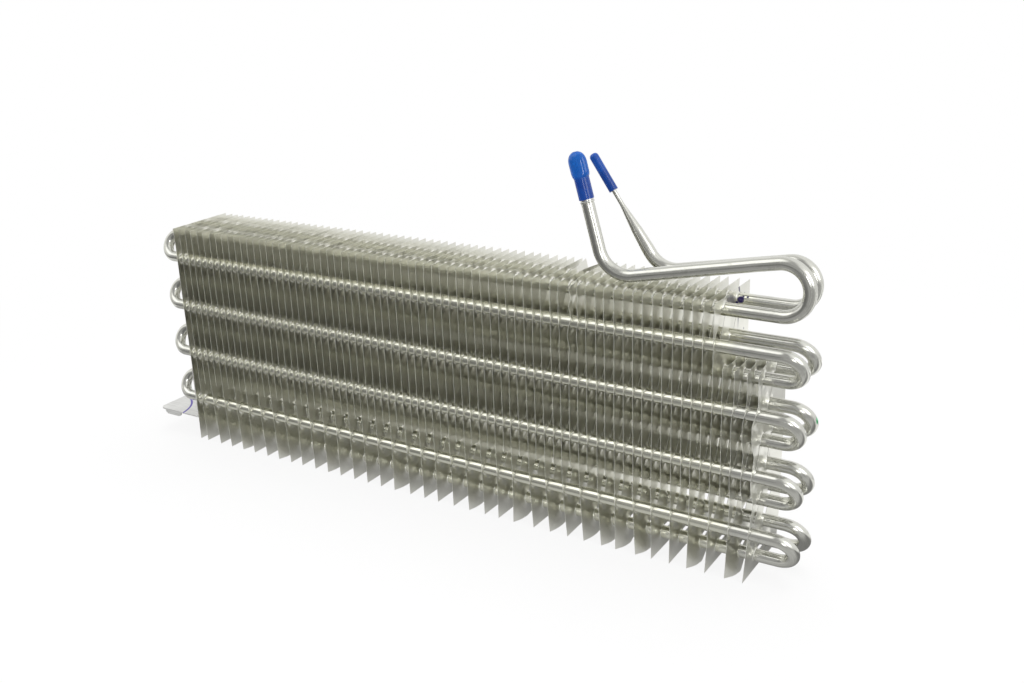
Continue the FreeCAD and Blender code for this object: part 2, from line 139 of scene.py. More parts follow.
def mapped(tree, scale=IN_MM):
    """Object coordinates, which are metres, times a scale per axis."""
    source = add(tree, "ShaderNodeTexCoord").outputs["Object"]
    return add(tree, "ShaderNodeMapping", i0=source, i3=scale).outputs[0]


def noise(tree, vector, scale, detail):
    return add(tree, "ShaderNodeTexNoise", i0=vector, Scale=scale, Detail=detail,
               Roughness=NOISE_ROUGHNESS).outputs[0]


def ramp(tree, value, low, high, out_low=0.0, out_high=1.0):
    """Value mapped from low..high to out_low..out_high, clamped and smooth."""
    return add(tree, "ShaderNodeMapRange", {"interpolation_type": "SMOOTHSTEP"},
               i0=value, i1=low, i2=high, i3=out_low, i4=out_high).outputs[0]


def mix_colour(tree, factor, first, second):
    return add(tree, "ShaderNodeMix", {"data_type": "RGBA"}, i0=factor, i6=first, i7=second).outputs[2]


def tinted(tree, value, low, high, first, second, most=1.0):
    """First colour where a value is low, and up to a share of the second where it is high."""
    return mix_colour(tree, ramp(tree, value, low, high, 0.0, most), first, second)


def math_node(tree, operation, *values):
    node = add(tree, "ShaderNodeMath", {"operation": operation})
    for socket, value in zip(node.inputs, values):
        fill(tree, socket, value)
    return node.outputs[0]


def chained(tree, operation, parts):
    """One operation over several masks, such as their product or the strongest of them."""
    result = parts[0]
    for part in parts[1:]:
        result = math_node(tree, operation, result, part)
    return result


def vector_value(tree, operation, **inputs):
    return add(tree, "ShaderNodeVectorMath", {"operation": operation}, **inputs).outputs["Value"]


def bump(tree, shader, height, depth, strength):
    """Bump from a height socket; its depth is in metres."""
    node = add(tree, "ShaderNodeBump", Height=height, Distance=depth, Strength=strength)
    tree.links.new(node.outputs[0], shader.inputs["Normal"])


def spot(tree, vector, centre, radius, soft):
    """1 within a radius of a point and 0 outside it."""
    away = vector_value(tree, "DISTANCE", i0=vector, i1=centre)
    return ramp(tree, away, radius - soft, radius + soft, 1.0, 0.0)


# ---------------------------------------------------------------- materials

INK_COLOUR = (0.022, 0.012, 0.10, 1.0)
MARKED_METALLIC = 0.1

# Marker ink on the last full-height fin, seen along x: (0, y, z).
BLOT, BLOT_RADIUS = (0.0, 13.0, 167.0), 2.3
BLOT_RAGGED = (0.985, 1.015)
STROKE_Y, STROKE_Z, STROKE_HALF_WIDTH = 10.0, 169.5, 1.0
STROKE_FLATTENED = 0.055
DROPS = ((0.0, 26.6, 164.4), (0.0, 19.5, 168.3), (0.0, 16.8, 163.6), (0.0, 8.6, 164.6),
         (0.0, 19.9, 145.9))
DROP_RADIUS = 0.55

# Ink on the tube beside that fin, and the green paint dab on a right bend: centre and radius.
TUBE_INK = (((218.25, 4.25, 169.0), 2.1), ((219.2, 4.6, 169.4), 1.2), ((216.0, 4.25, 166.9), 1.0),
            ((219.5, 5.3, 170.8), 0.7), ((222.25, 5.3, 170.8), 0.7))
GREEN_DAB, GREEN_DAB_RADIUS = (268.9, 2.85, 102.5), 2.4
GREEN_COLOUR = (0.03, 0.42, 0.16, 1.0)

# Pen arc on the bracket's ear, seen from above, on the faces higher than EAR_FACE.
PEN_CENTRE, PEN_RADIUS = (-275.7, -33.3), 34.2
PEN_HALF_WIDTH, PEN_FADED = 0.6, 0.95
EAR_FACE = (18.2, 18.7)
PEN_COLOUR = (0.10, 0.06, 0.42, 1.0)


def ink_mask(tree):
    """Marker blot, upright stroke and drops on the outer face of the last full-height fin."""
    flat = mapped(tree, (0.0, 1000.0, 1000.0))
    wobble = noise(tree, flat, 0.9, 3.0)
    ragged = add(tree, "ShaderNodeVectorMath", {"operation": "SCALE"}, i0=flat,
                 Scale=ramp(tree, wobble, 0.2, 0.8, *BLOT_RAGGED))
    upright = add(tree, "ShaderNodeMapping", i0=flat, i3=(1.0, 1.0, STROKE_FLATTENED)).outputs[0]
    stroke_at = (0.0, STROKE_Y, STROKE_FLATTENED * STROKE_Z)
    return chained(tree, "MAXIMUM", [spot(tree, ragged.outputs[0], BLOT, BLOT_RADIUS, 0.5),
                                     spot(tree, upright, stroke_at, STROKE_HALF_WIDTH, 0.3),
                                     *(spot(tree, flat, drop, DROP_RADIUS, 0.25) for drop in DROPS)])


def fin_material(name, inked=False):
    """Rolled fin stock: half mirror, with soft ripples and fine rolling lines along z."""
    material, tree, shader = new_material(name)
    in_mm = mapped(tree)
    blotch = noise(tree, in_mm, 0.06, 3.0)
    lines = noise(tree, mapped(tree, (1000.0, 1000.0, 60.0)), 1.6, 2.0)
    tint = tinted(tree, blotch, 0.35, 0.65, (0.815, 0.812, 0.76, 1.0), (0.86, 0.855, 0.803, 1.0))
    tint = tinted(tree, lines, 0.3, 0.7, tint, (0.88, 0.88, 0.84, 1.0), 0.12)
    shader.inputs["Metallic"].default_value = 1.0
    if inked:
        ink = ink_mask(tree)
        tint = mix_colour(tree, ink, tint, INK_COLOUR)
        fill(tree, shader.inputs["Metallic"], ramp(tree, ink, 0.0, 1.0, 1.0, MARKED_METALLIC))
    fill(tree, shader.inputs["Base Color"], tint)
    fill(tree, shader.inputs["Roughness"], ramp(tree, lines, 0.25, 0.75, 0.31, 0.36))
    bump(tree, shader, noise(tree, in_mm, 0.11, 2.0), 0.0010, 0.05)
    return material


def edge_material():
    """Sheared edges of the fins: bright and matt, with fine burrs."""
    material, tree, shader = new_material("fin_edge")
    burrs = noise(tree, mapped(tree, (1000.0, 1000.0, 300.0)), 1.4, 3.0)
    tint = tinted(tree, burrs, 0.35, 0.65, (0.60, 0.60, 0.56, 1.0), (0.74, 0.74, 0.69, 1.0))
    fill(tree, shader.inputs["Base Color"], tint)
    fill(tree, shader.inputs["Metallic"], 0.25)
    fill(tree, shader.inputs["Roughness"], ramp(tree, burrs, 0.3, 0.7, 0.42, 0.55))
    bump(tree, shader, burrs, 0.00003, 0.4)
    return material


def tube_material():
    """Drawn aluminium: satin, with streaks along the tube from its UV map in millimetres, and with
    painted light inside the pack: lighter and warmer there, as the fins' reflected light makes it."""
    material, tree, shader = new_material("drawn_tube")
    in_mm = mapped(tree)
    uv = add(tree, "ShaderNodeTexCoord").outputs["UV"]
    streaks = noise(tree, add(tree, "ShaderNodeMapping", i0=uv, i3=(1.0, 0.02, 1.0)).outputs[0], 2.4, 3.0)
    blotch = noise(tree, in_mm, 0.16, 4.0)
    tint = tinted(tree, streaks, 0.3, 0.7, (0.60, 0.60, 0.565, 1.0), (0.72, 0.72, 0.68, 1.0))
    tint = tinted(tree, blotch, 0.55, 0.75, tint, (0.52, 0.52, 0.48, 1.0), 0.5)
    tint = mix_colour(tree, spot(tree, in_mm, GREEN_DAB, GREEN_DAB_RADIUS, 0.7), tint, GREEN_COLOUR)
    axes = add(tree, "ShaderNodeSeparateXYZ", i0=in_mm).outputs
    # Painted reflected light: the tube is lighter and warmer inside the pack, where the fins mirror light
    # onto it.
    painted_pack_light = chained(tree, "MULTIPLY", [ramp(tree, axes["X"], FIRST_FIN - 6, FIRST_FIN),
                                         ramp(tree, axes["X"], LAST_FIN - 20, LAST_FIN - 10, 1.0, 0.0),
                                         ramp(tree, axes["Z"], FIN_TOP - 2, FIN_TOP + 1, 1.0, 0.0)])
    tint = mix_colour(tree, painted_pack_light, tint, (0.74, 0.74, 0.65, 1.0))
    ink = chained(tree, "MAXIMUM", [spot(tree, in_mm, centre, radius, 0.35) for centre, radius in TUBE_INK])
    tint = mix_colour(tree, ink, tint, INK_COLOUR)
    fill(tree, shader.inputs["Base Color"], tint)
    fill(tree, shader.inputs["Metallic"], ramp(tree, ink, 0.0, 1.0, 1.0, MARKED_METALLIC))
    fill(tree, shader.inputs["Roughness"], ramp(tree, blotch, 0.3, 0.7, 0.15, 0.26))
    bump(tree, shader, blotch, 0.0002, 0.2)
    return material


def bracket_material():
    """Mill-finish aluminium sheet, matter than the fins, with a pen arc on the ear."""
    material, tree, shader = new_material("bracket_sheet")
    in_mm = mapped(tree)
    lines = noise(tree, mapped(tree, (60.0, 1000.0, 1000.0)), 1.2, 3.0)
    blotch = noise(tree, in_mm, 0.15, 3.0)
    tint = tinted(tree, lines, 0.3, 0.7, (0.66, 0.66, 0.65, 1.0), (0.78, 0.78, 0.77, 1.0))
    from_above = mapped(tree, (1000.0, 1000.0, 0.0))
    away = vector_value(tree, "DISTANCE", i0=from_above, i1=(*PEN_CENTRE, 0.0))
    off_line = math_node(tree, "ABSOLUTE", math_node(tree, "SUBTRACT", away, PEN_RADIUS))
    height = add(tree, "ShaderNodeSeparateXYZ", i0=in_mm).outputs["Z"]
    pen = chained(tree, "MULTIPLY", [ramp(tree, off_line, PEN_HALF_WIDTH, PEN_FADED, 1.0, 0.0),
                                     ramp(tree, height, *EAR_FACE)])
    tint = mix_colour(tree, pen, tint, PEN_COLOUR)
    fill(tree, shader.inputs["Base Color"], tint)
    fill(tree, shader.inputs["Metallic"], ramp(tree, pen, 0.0, 1.0, 0.7, MARKED_METALLIC))
    fill(tree, shader.inputs["Roughness"], ramp(tree, blotch, 0.3, 0.7, 0.34, 0.46))
    bump(tree, shader, lines, 0.00003, 0.5)
    return material


def cap_material(name, dark, light, up, sleeve_top):
    """Dipped vinyl: glossy, slightly uneven, darker on its sleeve and lighter on its head."""
    material, tree, shader = new_material(name)
    in_mm = mapped(tree)
    cloud = noise(tree, in_mm, 0.18, 3.0)
    height = vector_value(tree, "DOT_PRODUCT", i0=in_mm, i1=up)
    share = math_node(tree, "ADD", ramp(tree, height, sleeve_top - 1.5, sleeve_top + 2.0, 0.0, 0.8),
                      ramp(tree, cloud, 0.35, 0.65, 0.0, 0.2))
    fill(tree, shader.inputs["Base Color"], mix_colour(tree, share, dark, light))
    fill(tree, shader.inputs["Roughness"], ramp(tree, cloud, 0.3, 0.7, 0.16, 0.28))
    for socket, value in (("Specular IOR Level", 0.15), ("Coat Weight", 0.45), ("Coat IOR", 1.6),
                          ("Coat Roughness", 0.06)):
        shader.inputs[socket].default_value = value
    bump(tree, shader, noise(tree, in_mm, 0.25, 2.0), 0.0003, 0.12)
    return material


FIN = fin_material("fin_stock")
INKED_FIN = fin_material("fin_stock_inked", True)
FIN_EDGE = edge_material()
TUBE = tube_material()
BRACKET = bracket_material()


# ---------------------------------------------------------------- meshes

SHARP_ANGLE = math.radians(45)


def make_object(name, vertices, faces, material, rim_material=None):
    """Object from points in millimetres. Quads of a thin sheet are its edges, which may take a
    material of their own."""
    mesh = bpy.data.meshes.new(name)
    mesh.from_pydata((np.asarray(vertices, float) * MM).tolist(), [], [list(map(int, f)) for f in faces])
    mesh.validate()
    mesh.materials.append(material)
    if rim_material:
        mesh.materials.append(rim_material)
        mesh.polygons.foreach_set("material_index", [int(p.loop_total == 4) for p in mesh.polygons])
    mesh.polygons.foreach_set("use_smooth", [True] * len(mesh.polygons))
    mesh.set_sharp_from_angle(angle=SHARP_ANGLE)
    thing = bpy.data.objects.new(name, mesh)
    scene.collection.objects.link(thing)
    return thing


def finish_piece(thing, slot_name, *nodes):
    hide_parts(*nodes)
    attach(thing, "root")


def smooth(share):
    """Smooth step of a share from 0 to 1."""
    return share * share * (3 - 2 * share)


# ---------------------------------------------------------------- one flat fin with its collars

HOLE_RADIUS = 4.1
HOLE_STEPS, CHANNEL_STEPS = 18, 3

# Rings of points round each hole, which carry its collar.
RING_DISTANCES = (4.18, 4.4, 4.8, 5.4, 5.9, 6.4, 7.4, 8.4)
RING_POINTS = 22

# Collars: distance from the tube's axis and how far the sheet is drawn up there.
COLLAR_PROFILE = ((4.1, 1.6), (4.18, 1.4), (4.4, 1.2), (4.8, 1.02), (5.4, 0.79), (6.2, 0.52),
                  (7.2, 0.25), (8.4, 0.0))
TOP_COLLAR_PROFILE = ((4.1, 1.4), (4.18, 0.85), (4.4, 0.45), (4.8, 0.3), (5.4, 0.24), (5.9, 0.2),
                      (6.4, 0.0), (8.4, 0.0))
COLLAR_FREE_EDGE = 3.4
COLLAR_FADE = 0.3

# A fin has the slots whose lower hole is above its bottom, and whose upper one is below its top.
ROOM_OVER_SLOT, ROOM_UNDER_SLOT = 4, 1

# Distances between the outline's points: bottom, back, top and front.
OUTLINE_STEPS = (2.4, 4.0, 2.4, 1.6)

# Points of the open sheet, in staggered rows.
GRID_STEP, GRID_COLUMNS = 4.4, 13
GRID_FROM_SLOT, GRID_FROM_RINGS = 1.2, 1.0
RING_FROM_EDGE, RING_FROM_SLOT = 0.3, 0.05

# How far into a slot a triangle's middle may lie, and the distance at which points are one.
SLOT_OVERLAP = 0.06
SAME_POINT = 1e-5


def slot_outline(first, second, half_width):
    """Two round holes joined by a narrower channel, which the flattened hairpin bend passed."""
    first, second = np.array(first), np.array(second)
    length = np.linalg.norm(second - first)
    opening = math.asin(half_width / HOLE_RADIUS)
    along = (second - first) / length
    across = np.array([-along[1], along[0]])
    reach = length - 2 * HOLE_RADIUS * math.cos(opening)
    points = []
    for centre, inward, side in ((second, -along, -across), (first, along, across)):
        for step in range(HOLE_STEPS + 1):
            angle = opening + (2 * math.pi - 2 * opening) * step / HOLE_STEPS
            points.append(centre + HOLE_RADIUS * (inward * math.cos(angle) + side * math.sin(angle)))
        start = points[-1]
        for step in range(1, CHANNEL_STEPS + 1):
            points.append(start + inward * reach * step / (CHANNEL_STEPS + 1))
    return np.array(points)


def segment_distance(point, first, second):
    first, second, point = np.array(first), np.array(second), np.array(point)
    step = second - first
    share = np.clip(np.dot(point - first, step) / np.dot(step, step), 0.0, 1.0)
    return np.linalg.norm(point - first - share * step)


def in_slot(point, first, second, half_width, margin):
    """Whether a point lies in the slot grown by a margin."""
    if min(math.dist(point, first), math.dist(point, second)) < HOLE_RADIUS + margin:
        return True
    return segment_distance(point, first, second) < half_width + margin


def collar_height(points, slots):
    """How far the collars draw a fin towards +x round each tube, except in its slot and at the
    front edge."""
    height = np.zeros(len(points))
    from_edge = smooth(np.clip((points[:, 0] - FIN_FRONT) / COLLAR_FREE_EDGE, 0.0, 1.0))
    for first, second, half_width in slots:
        limit = math.sqrt(1 - (half_width / HOLE_RADIUS) ** 2)
        for centre, other in ((first, second), (second, first)):
            step = points - np.array(centre)
            away = np.linalg.norm(step, axis=1)
            inward = (np.array(other) - np.array(centre)) / math.dist(other, centre)
            facing = step @ inward / np.maximum(away, 1e-6)
            share = smooth(np.clip((limit - facing) / COLLAR_FADE, 0.0, 1.0)) * from_edge
            profile = TOP_COLLAR_PROFILE if centre[1] == row_z(1) else COLLAR_PROFILE
            height = np.maximum(height, np.interp(away, *zip(*profile)) * share)
    return height


def sheet_outline(bottom, top):
    """Points round the fin's rectangle."""
    corners = [(FIN_FRONT, bottom), (FIN_BACK, bottom), (FIN_BACK, top), (FIN_FRONT, top)]
    outline = []
    for start, end, step in zip(corners, corners[1:] + corners[:1], OUTLINE_STEPS):
        start, end = np.array(start), np.array(end)
        count = max(1, round(math.dist(start, end) / step))
        outline += [tuple(start + (end - start) * n / count) for n in range(count)]
    return outline


def ring_points(slots, bottom, top):
    """Points in rings round the holes, on the sheet and outside their slot."""
    points = []
    for first, second, half_width in slots:
        for centre in (first, second):
            for number, distance in enumerate(RING_DISTANCES):
                for step in range(RING_POINTS):
                    angle = 2 * math.pi * (step + 0.5 * (number % 2)) / RING_POINTS
                    y = centre[0] + distance * math.cos(angle)
                    z = centre[1] + distance * math.sin(angle)
                    on_sheet = (FIN_FRONT + RING_FROM_EDGE < y < FIN_BACK - RING_FROM_EDGE
                                and bottom + RING_FROM_EDGE < z < top - RING_FROM_EDGE)
                    if on_sheet and not in_slot((y, z), first, second, half_width, RING_FROM_SLOT):
                        points.append((y, z))
    return points


def grid_points(slots, bottom, top):
    """Points of the open sheet, clear of slots and rings."""
    centres = [centre for slot in slots for centre in slot[:2]]
    points = []
    count = round((top - bottom) / GRID_STEP)
    for row in range(1, count):
        z = bottom + (top - bottom) * row / count
        for column in range(1, GRID_COLUMNS):
            stagger = 0.5 * (row % 2) - 0.25
            y = FIN_FRONT + (FIN_BACK - FIN_FRONT) * (column + stagger) / GRID_COLUMNS
            if any(in_slot((y, z), *slot, GRID_FROM_SLOT) for slot in slots):
                continue
            if all(math.dist((y, z), centre) > RING_DISTANCES[-1] + GRID_FROM_RINGS for centre in centres):
                points.append((y, z))
    return points


def fin_pattern(bottom, top, closed):
    """Middle surface of a fin: points (height above the sheet, y, z) and triangles."""
    slots = [slot for slot in SLOTS
             if slot[1][1] < top - ROOM_OVER_SLOT and slot[0][1] > bottom - ROOM_UNDER_SLOT]
    if closed:
        slots = [(first, second, CLOSED_HALF_WIDTH) for first, second, _ in slots]
    points, edges = [], []
    for loop in [sheet_outline(bottom, top)] + [slot_outline(*slot) for slot in slots]:
        start = len(points)
        points.extend(map(tuple, loop))
        edges.extend((start + n, start + (n + 1) % len(loop)) for n in range(len(loop)))
    points += ring_points(slots, bottom, top) + grid_points(slots, bottom, top)
    found, _, faces, _, _, _ = delaunay_2d_cdt([Vector(p) for p in points], edges, [], 1, SAME_POINT)
    found = np.array([(p.x, p.y) for p in found])
    kept = []
    for face in faces:
        y, z = found[list(face)].mean(axis=0)
        if bottom < z < top and not any(in_slot((y, z), *slot, -SLOT_OVERLAP) for slot in slots):
            kept.append(list(face))
    used = sorted({n for face in kept for n in face})
    renumber = {n: m for m, n in enumerate(used)}
    found = found[used]
    faces = np.array([[renumber[n] for n in face] for face in kept])
    a, b, c = (found[faces[:, n]] for n in range(3))
    backwards = (b - a)[:, 0] * (c - a)[:, 1] - (b - a)[:, 1] * (c - a)[:, 0] < 0
    faces[backwards] = faces[backwards][:, ::-1]
    return np.column_stack([collar_height(found, slots), found]), faces


def thicken(vertices, faces, half):
    """Closed thin sheet round a middle surface."""
    a, b, c = (vertices[faces[:, n]] for n in range(3))
    face_normals = np.cross(b - a, c - a)
    normals = np.zeros_like(vertices)
    for n in range(3):
        np.add.at(normals, faces[:, n], face_normals)
    normals /= np.maximum(np.linalg.norm(normals, axis=1, keepdims=True), 1e-9)
    count = len(vertices)
    sides = {(face[n], face[(n + 1) % 3]): True for face in faces.tolist() for n in range(3)}
    rim = [(i, j) for (i, j) in sides if (j, i) not in sides]
    walls = [[i, i + count, j + count, j] for i, j in rim]
    both = np.vstack([vertices + normals * half, vertices - normals * half])
    return both, faces.tolist() + (faces[:, ::-1] + count).tolist() + walls


# ---------------------------------------------------------------- fins, as bent and knocked

# The even rows' holes have moved along their slots, and the sheet round them with them.
LEFT_RISE = 2.4
RISE_LEFT, RISE_RIGHT = -234.4, 253.8
MOVED_REACH, MOVED_FADE = 13.5, 7.5
MOVED_FREE_EDGE = 0.6

# Random unevenness of every fin along x: a shift and slopes of the whole sheet, waves across and
# up it, and a bend of its top edge.
SHEET_MIDDLE = 90.0
SHEET_SHIFT, SHEET_SLOPE = 0.28, 0.18
WAVES, WAVE_RATE = 3, 1.7
WAVES_ACROSS, WAVES_UP = (0.5, 1.6), (1.5, 4.5)
WAVE_STARTS, WAVE_HEIGHTS = (0, 6.28), (0.03, 0.11)
TOP_BEND, TOP_BEND_FROM, TOP_BEND_REACH, TOP_BEND_POWER = 0.5, 160.0, 15.0, 1.5

# Lean of each long fin's bottom edge along x, from the left, and how it fades and twists.
BOTTOM_LEANS = (-1.0, 1.3, 2.6, 3.0, 2.6, 1.6, 2.2, 1.6, 1.8, 0.5, 0.8, 0.1, 0.1, 0.2, 0.6, -0.2, -0.5,
                0.6, 1.0, 0.6, 0.6, 0.7, 1.1, 0.0, -0.6, 2.9, 3.2, 2.3, 3.2, 2.0, 0.4, 1.6, 0.6, -0.7,
                -0.8, -1.8, -1.4, -2.2)
LEAN_TOP, LEAN_POWER, LEAN_TWIST = 45.0, 1.4, 0.25

# Long fins whose front bottom corner is curled, and by how much.
CURLED_CORNERS = {5: 4.0, 8: 5.0, 12: 4.0, 17: 5.0, 22: 4.5, 25: 6.0, 27: 4.0, 29: 4.5, 30: 7.5,
                  31: 8.0, 32: 8.5, 35: 8.5, 37: 9.5}
CURL_TOP, CURL_POWER, CURL_SHARE = 30.0, 1.5, 0.6
CURL_ACROSS = ((-28.0, 0.0), (-22.0, 0.75), (-15.0, 1.0), (10.0, 0.0))

# Knocks at the front edge reach this far back, and fade over this depth.
KNOCK_BACK, KNOCK_DEPTH = -14.0, 12.0

# Wavy front edge of the last three fins, and the dents of the crumpled one: (z, shift).
LAST_EDGE = ((0, 0.0), (30, 0.2), (45, 1.4), (54, 2.4), (62, 0.5), (68, 0.2), (76, 0.8), (85, 1.7),
             (93, 0.0), (104, -0.2), (110, 1.6), (118, 3.4), (136, 3.0))
LAST_EDGE_FINS = 3
CRUMPLED = 54
DENTS = ((125, 0), (134, 0.9), (141, -0.6), (147, 0.4), (153, 2.4), (160, 0.8), (167, 2.8), (171, 1.0),
         (175, 3.4))
NEIGHBOUR_DENT, BACKWARD_DENT = 0.5, -0.7

# Torn top corner at the back, between two fins that are bent apart.
TORN_SHIFTS = {52: -4.6, 53: 4.2}
TORN_FRONT, TORN_DEPTH = 6.0, 22.0
TORN_BOTTOM, TORN_HEIGHT = 158.0, 17.0

# The long fin with the ink, and the first fins, whose channels are nearly closed.
INKED_NUMBER = 36
CLOSED_POSITIONS = 2

# Seed of the first fin, and the flat patterns made so far.
FIRST_SEED = 1000
PATTERNS = {}


def rise(x):
    """How far the even rows have moved at x, which the photograph shows growing to the left."""
    return LEFT_RISE * (RISE_RIGHT - x) / (RISE_RIGHT - RISE_LEFT)


def moved_holes(points, x):
    """A fin's points with the even rows' holes moved to where the tube is."""
    points = points.copy()
    shift = np.zeros((len(points), 2))
    for odd, even, _ in SLOTS[:-1]:
        inward = (np.array(odd) - np.array(even)) / math.dist(odd, even)
        away = np.linalg.norm(points[:, 1:] - np.array(even), axis=1)
        weight = smooth(np.clip((MOVED_REACH - away) / MOVED_FADE, 0.0, 1.0))
        stronger = weight > np.linalg.norm(shift, axis=1) / LEFT_RISE
        shift = np.where(stronger[:, None], weight[:, None] * inward * rise(x), shift)
    shift[:, 0] *= np.clip((points[:, 1] - FIN_FRONT) / MOVED_FREE_EDGE, 0.0, 1.0)
    points[:, 1:] += shift
    return points


def damage(position, long_number, y, z):
    """Knocks that single fins have taken in the photograph: shift along x."""
    shift = np.zeros(len(y))
    front = np.clip((KNOCK_BACK - y) / KNOCK_DEPTH, 0, 1)
    if long_number in CURLED_CORNERS:
        low = np.clip((CURL_TOP - z) / CURL_TOP, 0, 1) ** CURL_POWER
        curl = CURL_SHARE * CURLED_CORNERS[long_number] * low
        shift += curl * np.interp(y, *zip(*CURL_ACROSS))
    if position >= FIN_POSITIONS - LAST_EDGE_FINS:
        amount = (position - FIN_POSITIONS + LAST_EDGE_FINS + 1) / LAST_EDGE_FINS
        shift += amount * front * np.interp(z, *zip(*LAST_EDGE))
    if abs(position - CRUMPLED) <= 1:
        amount = (1.0, NEIGHBOUR_DENT)[abs(position - CRUMPLED)]
        amount *= 1 if position >= CRUMPLED else BACKWARD_DENT
        shift += amount * front * np.interp(z, *zip(*DENTS))
    if position in TORN_SHIFTS:
        corner = np.clip((y - TORN_FRONT) / TORN_DEPTH, 0, 1)
        corner = corner * np.clip((z - TORN_BOTTOM) / TORN_HEIGHT, 0, 1)
        shift += TORN_SHIFTS[position] * corner
    return shift


def fin_shift(position, long_number, points):
    """How far a fin's points stand off its flat place, along x, for waves, leans and knocks."""
    chance = random.Random(FIRST_SEED + position)
    y = points[:, 1] / FIN_BACK
    z = (points[:, 2] - SHEET_MIDDLE) / SHEET_MIDDLE
    shift = chance.uniform(-SHEET_SHIFT, SHEET_SHIFT)
    for coordinate in (z, y):
        shift = shift + SHEET_SLOPE * chance.uniform(-1, 1) * coordinate
    for _ in range(WAVES):
        wave = (chance.uniform(*WAVES_ACROSS) * y + chance.uniform(*WAVES_UP) * z
                + chance.uniform(*WAVE_STARTS))
        shift = shift + chance.uniform(*WAVE_HEIGHTS) * np.sin(wave * WAVE_RATE)
    top = np.clip((points[:, 2] - TOP_BEND_FROM) / TOP_BEND_REACH, 0, None)
    shift = shift + chance.uniform(-TOP_BEND, TOP_BEND) * top ** TOP_BEND_POWER
    if long_number is not None:
        low = np.clip((LEAN_TOP - points[:, 2]) / LEAN_TOP, 0, None)
        twist = 1.0 + LEAN_TWIST * chance.uniform(-1, 1) * y
        shift = shift + BOTTOM_LEANS[long_number - 1] * low ** LEAN_POWER * twist
    return shift + damage(position, long_number, points[:, 1], points[:, 2])


def fin_mesh(position, long_number=None):
    """Sheet at a position; a short one has no long number."""
    top = CUT_BACK_TOP if position >= FIRST_CUT_BACK else FIN_TOP
    bottom = SHORT_BOTTOM if long_number is None else 0.0
    kind = (bottom, top, position < CLOSED_POSITIONS)
    if kind not in PATTERNS:
        PATTERNS[kind] = fin_pattern(*kind)
    points, faces = PATTERNS[kind]
    x = FIRST_FIN + position * FIN_PITCH
    points = moved_holes(points, x)
    points[:, 0] += x + fin_shift(position, long_number, points)
    vertices, faces = thicken(points, faces, FIN_HALF_GAUGE)
    vertices[:, 1:] = np.clip(vertices[:, 1:], (FIN_FRONT + BOX_MARGIN, BOX_MARGIN),
                              (FIN_BACK - BOX_MARGIN, FIN_TOP - BOX_MARGIN))
    return vertices, faces


def joined(parts):
    vertices, faces = [], []
    for part_vertices, part_faces in parts:
        start = sum(len(v) for v in vertices)
        vertices.append(part_vertices)
        faces += [[n + start for n in face] for face in part_faces]
    return np.vstack(vertices), faces


def make_fins():
    """Long fins at position 0 and at the odd ones, each for its node; short ones in threes."""
    long_number, short_node, short_parts = 0, 0, []
    for position in range(FIN_POSITIONS):
        if position == 0 or position % 2 == 1:
            long_number += 1
            node = f"long_fin_{long_number:02d}"
            stock = INKED_FIN if long_number == INKED_NUMBER else FIN
            sheet = make_object(node + "_sheet", *fin_mesh(position, long_number), stock, FIN_EDGE)
            finish_piece(sheet, "fins", node)
            continue
        short_parts.append(fin_mesh(position))
        if len(short_parts) == SHORT_FINS_PER_NODE:
            short_node += 1
            node = f"short_fins_{short_node:02d}"
            sheets = make_object(node + "_sheets", *joined(short_parts), FIN, FIN_EDGE)
            finish_piece(sheets, "fins", node)
            short_parts = []


make_fins()


# ---------------------------------------------------------------- the tube's run

X_AXIS = np.array([1.0, 0, 0])

# Hairpins. The left ones are a little pinched, moved and led into, from top to bottom; a lead is
# how far back a point stands and its share of the pinch and move.
LEFT_BENDS = FIRST_FIN - 10.9
RIGHT_BENDS = LAST_FIN + 13.8
LEFT_PINCH = 1.2
LEFT_MOVES = (2.2, 1.5, 0.4, 0.0)
LEFT_LEAD = [(9.0, 0.0), (6.0, 0.25), (3.0, 0.7)]
PLAIN_LEAD = 2.0
BEND_STEPS = 30

# Connections: a riser, a bend, a return leg over the pack and a loop down to the top row.
LEG_Z = FIN_TOP + 0.4 + TUBE_RADIUS
OUTLET_LOOP = np.array([LAST_FIN + 9.2, row_y(1, 0), row_z(1)])
INLET_LOOP = np.array([LAST_FIN + 8.3, row_y(1, 1), row_z(1)])
OUTLET_LOOP_RADIUS, INLET_LOOP_RADIUS = 15.6, 13.5
OUTLET_CORNER = np.array([OUTLET_LOOP[0] - 107.1, OUTLET_LOOP[1] - 7.0, LEG_Z])
INLET_CORNER = np.array([INLET_LOOP[0] - 83.1, INLET_LOOP[1], LEG_Z])
OUTLET_UP = np.array([-math.sin(math.radians(15)), 0, math.cos(math.radians(15))])
INLET_UP = np.array([-math.sin(math.radians(34)), 0, math.cos(math.radians(34))])
OUTLET_RISER, INLET_RISER = 69.0, 75.0
RISER_BEND, RISER_BEND_STEPS = 19.0, 16
SIDE_BEND, SIDE_BEND_STEPS, SIDE_BEND_RUN = 60.0, 6, 12.0
SMALLEST_SIDE_STEP = 0.4
LOOP_STEPS, LOOP_LEAD = 40, 2.0

# Bead under the outlet's cap: how far it lies below the end, its length, how far it stands out
# and how round it is.
BEAD_BELOW_END, BEAD_LENGTH, BEAD_SWELL, BEAD_POWER = 22.2, 1.4, 0.35, 0.6
BEAD_STEPS = 8

# Inlet's riser: radius at heights above its corner, and the heights of its rings.
DRAWN_RADII = ((0.0, 4.0), (16.0, 4.0), (29.0, 3.3), (47.0, 1.4), (INLET_RISER, 1.4))
DRAWN_HEIGHTS = (16.0, 18.0, 20.0, 23.0, 26.0, 29.0, 32.0, 36.0, 40.0, 44.0, 47.0, 52.0, INLET_RISER)

# Open ends: radius and depth of the bores that show the wall.
OUTLET_BORE, OUTLET_BORE_DEPTH = 3.25, 18.0
INLET_BORE, INLET_BORE_DEPTH = 0.8, 12.0
SEGMENTS = 28


